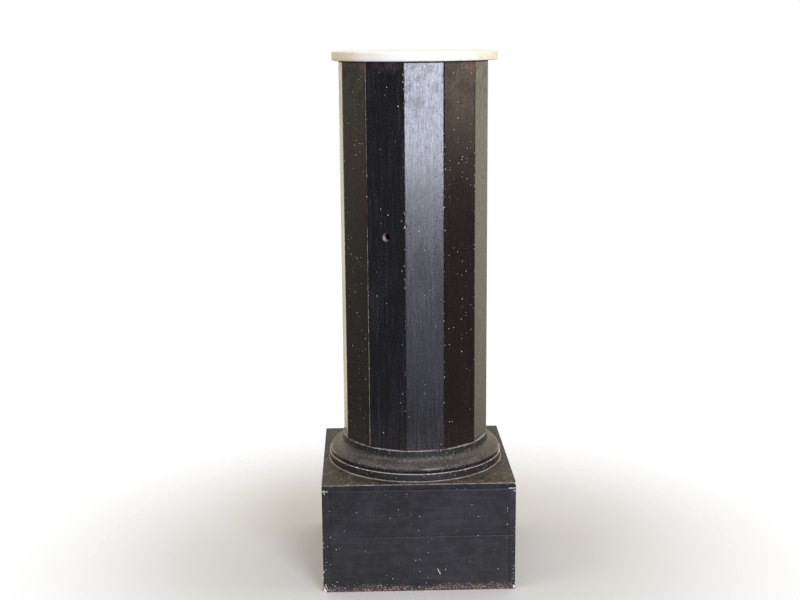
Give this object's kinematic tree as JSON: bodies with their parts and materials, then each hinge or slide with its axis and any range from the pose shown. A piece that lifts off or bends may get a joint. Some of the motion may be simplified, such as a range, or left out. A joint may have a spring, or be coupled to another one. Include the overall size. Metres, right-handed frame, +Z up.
{
  "type": "wooden pedestal column",
  "caption": "Hollow twelve-sided black wooden column on a turned ring and a square boarded plinth, with a round stone top.",
  "frame": {"origin": "middle of the plinth's underside, on the column's axis", "axes": "+Z up along the column, +X to the right and -Y out of the plinth's front; the stave with the hole faces front and left"},
  "size_m": [0.42, 0.42, 1.1609],
  "materials": {
    "black_shaft": "black paint over wood, satin, worn to raw wood on some edges",
    "black_ring": "black paint over turned wood, satin and dusty",
    "black_plinth": "black paint over boards, dull, scuffed and dusty",
    "cream_stone": "honed cream stone with tan clouds"
  },
  "bodies": {
    "root": {"top_slab": "cream_stone", "stave_01": "black_shaft", "stave_02": "black_shaft", "stave_03": "black_shaft", "stave_04": "black_shaft", "stave_05": "black_shaft", "stave_06": "black_shaft", "stave_07": "black_shaft", "stave_08": "black_shaft", "stave_09": "black_shaft", "stave_10": "black_shaft", "stave_11": "black_shaft", "stave_12": "black_shaft", "base_ring": "black_ring", "plinth_top": "black_plinth", "plinth_front_upper": "black_plinth", "plinth_front_lower": "black_plinth", "plinth_back_upper": "black_plinth", "plinth_back_lower": "black_plinth", "plinth_left_upper": "black_plinth", "plinth_left_lower": "black_plinth", "plinth_right_upper": "black_plinth", "plinth_right_lower": "black_plinth"}
  },
  "joints": []
}
